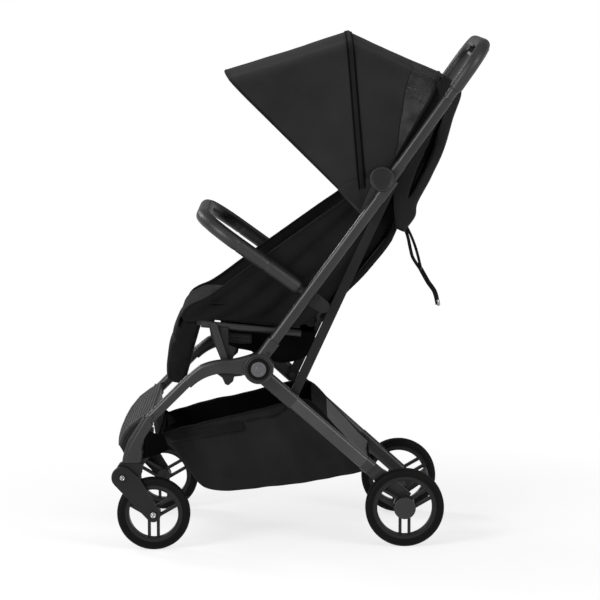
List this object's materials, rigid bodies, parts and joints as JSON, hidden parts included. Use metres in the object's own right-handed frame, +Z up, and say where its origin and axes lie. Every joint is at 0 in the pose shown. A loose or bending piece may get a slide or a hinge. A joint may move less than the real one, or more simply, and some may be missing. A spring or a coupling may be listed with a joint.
{
  "type": "baby stroller",
  "caption": "Compact folding baby stroller with a canopy, padded seat, bumper bar, basket, sprung front castors and a push handle that folds down with the rear legs.",
  "frame": {"origin": "on the floor under the middle of the stroller's bounding box", "axes": "+X to the rear, towards the person pushing; +Y to the stroller's right-hand side; +Z up"},
  "size_m": [0.7525, 0.4796, 1.0247],
  "materials": {
    "frame_paint": "satin black powder coat",
    "hub_plastic": "matte moulded",
    "cap_plastic": "satin moulded",
    "canvas": "matte woven",
    "padding": "matte quilted",
    "grip_leather": "stitched grain",
    "tyre_rubber": "matte foam tyre",
    "rim_plastic": "matte moulded",
    "axle_steel": "brushed",
    "webbing": "woven tape",
    "buckle_plastic": "satin moulded",
    "board_plastic": "matte sheet",
    "button_plastic": "matte light grey",
    "footrest_plastic": "ribbed mid grey"
  },
  "bodies": {
    "frame": {"hub_housings": "hub_plastic", "hub_caps": "cap_plastic", "upright_tube_left": "frame_paint", "upright_tube_right": "frame_paint", "upright_joints": "hub_plastic", "front_leg_tube_left": "frame_paint", "front_leg_tube_right": "frame_paint", "front_boots": "hub_plastic", "footrest": "footrest_plastic", "seat_frame": "frame_paint", "seat_struts": "frame_paint", "seat_board": "board_plastic", "seat_pad": "padding", "seat_wing_left": "canvas", "seat_wing_right": "canvas", "bumper_brackets": "hub_plastic", "basket": "canvas", "harness_buckle": "buckle_plastic", "lap_straps": "webbing"},
    "rear_legs": {"rear_leg_knuckles": "hub_plastic", "rear_leg_tube_left": "frame_paint", "rear_leg_tube_right": "frame_paint", "rear_brackets": "hub_plastic", "rear_axle_rod": "axle_steel", "rear_cross_tube": "frame_paint"},
    "rear_wheel_left": {"rear_tyre_left": "tyre_rubber", "rear_rim_left": "rim_plastic", "rear_hub_cap_left": "cap_plastic"},
    "rear_wheel_right": {"rear_tyre_right": "tyre_rubber", "rear_rim_right": "rim_plastic", "rear_hub_cap_right": "cap_plastic"},
    "brake": {"brake_pedal": "hub_plastic"},
    "fold_link_bars": {"fold_links": "frame_paint"},
    "handle": {"handle_knuckles": "hub_plastic", "handle_tubes": "frame_paint", "handle_bow": "frame_paint", "handle_grip": "grip_leather", "fold_button_housing": "hub_plastic", "rear_flap": "canvas", "canopy_rear_cloth": "canvas"},
    "release_button": {"fold_button": "button_plastic"},
    "canopy_front": {"canopy_front_bow": "frame_paint", "canopy_front_cloth": "canvas"},
    "canopy_mid": {"canopy_mid_bow": "frame_paint"},
    "backrest": {"backrest_board": "board_plastic", "backrest_pad": "padding", "shoulder_straps": "webbing", "recline_strap": "webbing"},
    "legrest": {"legrest_pad": "padding"},
    "bumper_bar": {"bumper_core": "frame_paint", "bumper_cover": "grip_leather"},
    "castor_left": {"castor_housing_left": "hub_plastic"},
    "castor_right": {"castor_housing_right": "hub_plastic"},
    "fork_left": {"front_fork_left": "hub_plastic"},
    "fork_right": {"front_fork_right": "hub_plastic"},
    "front_wheel_left": {"front_tyre_left": "tyre_rubber", "front_rim_left": "rim_plastic"},
    "front_wheel_right": {"front_tyre_right": "tyre_rubber", "front_rim_right": "rim_plastic"}
  },
  "joints": [
    {"name": "fold", "type": "hinge", "parent": "frame", "child": "rear_legs", "pos_m": [-0.082, 0, 0.365], "axis": [0, 1, 0], "range_deg": [0, 60], "deforming": ["basket", "rear_flap"]},
    {"name": "handle_fold", "type": "hinge", "parent": "frame", "child": "handle", "pos_m": [0.16105, 0, 0.742], "axis": [0, 1, 0], "range_deg": [0, 120]},
    {"name": "link_fold", "type": "hinge", "parent": "rear_legs", "child": "fold_link_bars", "pos_m": [-0.01648, 0, 0.29568], "axis": [0, 1, 0], "range_deg": [-51, 0]},
    {"name": "rear_wheel_spin_left", "type": "hinge", "parent": "rear_legs", "child": "rear_wheel_left", "pos_m": [0.21, -0.183, 0.079], "axis": [0, 1, 0], "continuous": true},
    {"name": "rear_wheel_spin_right", "type": "hinge", "parent": "rear_legs", "child": "rear_wheel_right", "pos_m": [0.21, 0.183, 0.079], "axis": [0, 1, 0], "continuous": true},
    {"name": "brake_press", "type": "hinge", "parent": "rear_legs", "child": "brake", "pos_m": [0.21, 0, 0.079], "axis": [0, 1, 0], "range_deg": [0, 20]},
    {"name": "button_press", "type": "slide", "parent": "handle", "child": "release_button", "axis": [0.5764, 0, 0.8171], "range_m": [0, 0.003], "stiffness_N_per_m": 600, "springref_m": -0.002},
    {"name": "canopy_fold", "type": "hinge", "parent": "handle", "child": "canopy_front", "pos_m": [0.12702, 0, 0.67099], "axis": [0, 1, 0], "range_deg": [0, 60], "deforming": ["canopy_front_cloth", "canopy_rear_cloth"]},
    {"name": "canopy_mid_fold", "type": "hinge", "parent": "handle", "child": "canopy_mid", "pos_m": [0.12702, 0, 0.67099], "axis": [0, 1, 0], "range_deg": [0, 30]},
    {"name": "recline", "type": "hinge", "parent": "frame", "child": "backrest", "pos_m": [0.022, 0, 0.447], "axis": [0, 1, 0], "range_deg": [0, 30], "deforming": ["rear_flap", "recline_strap"]},
    {"name": "legrest_swing", "type": "hinge", "parent": "frame", "child": "legrest", "pos_m": [-0.222, 0, 0.448], "axis": [0, 1, 0], "range_deg": [0, 60]},
    {"name": "bumper_tilt", "type": "hinge", "parent": "frame", "child": "bumper_bar", "pos_m": [0.028, 0, 0.5], "axis": [0, 1, 0], "range_deg": [-20, 40]},
    {"name": "castor_swivel_left", "type": "hinge", "parent": "frame", "child": "castor_left", "pos_m": [-0.334, -0.216, 0.17], "axis": [0, 0, 1], "continuous": true},
    {"name": "suspension_left", "type": "hinge", "parent": "castor_left", "child": "fork_left", "pos_m": [-0.353, -0.216, 0.148], "axis": [0, -1, 0], "range_deg": [0, 8], "stiffness_Nm_per_rad": 8, "springref_deg": -22.92},
    {"name": "front_wheel_spin_left", "type": "hinge", "parent": "fork_left", "child": "front_wheel_left", "pos_m": [-0.292, -0.214, 0.073], "axis": [0, 1, 0], "continuous": true},
    {"name": "castor_swivel_right", "type": "hinge", "parent": "frame", "child": "castor_right", "pos_m": [-0.334, 0.216, 0.17], "axis": [0, 0, 1], "continuous": true},
    {"name": "suspension_right", "type": "hinge", "parent": "castor_right", "child": "fork_right", "pos_m": [-0.353, 0.216, 0.148], "axis": [0, -1, 0], "range_deg": [0, 8], "stiffness_Nm_per_rad": 8, "springref_deg": -22.92},
    {"name": "front_wheel_spin_right", "type": "hinge", "parent": "fork_right", "child": "front_wheel_right", "pos_m": [-0.292, 0.214, 0.073], "axis": [0, 1, 0], "continuous": true}
  ],
  "couplings": [
    {"joint": "handle_fold", "follows": "fold", "ratio": 2},
    {"joint": "link_fold", "follows": "fold", "ratio": -0.847},
    {"joint": "canopy_mid_fold", "follows": "canopy_fold", "ratio": 0.5}
  ]
}
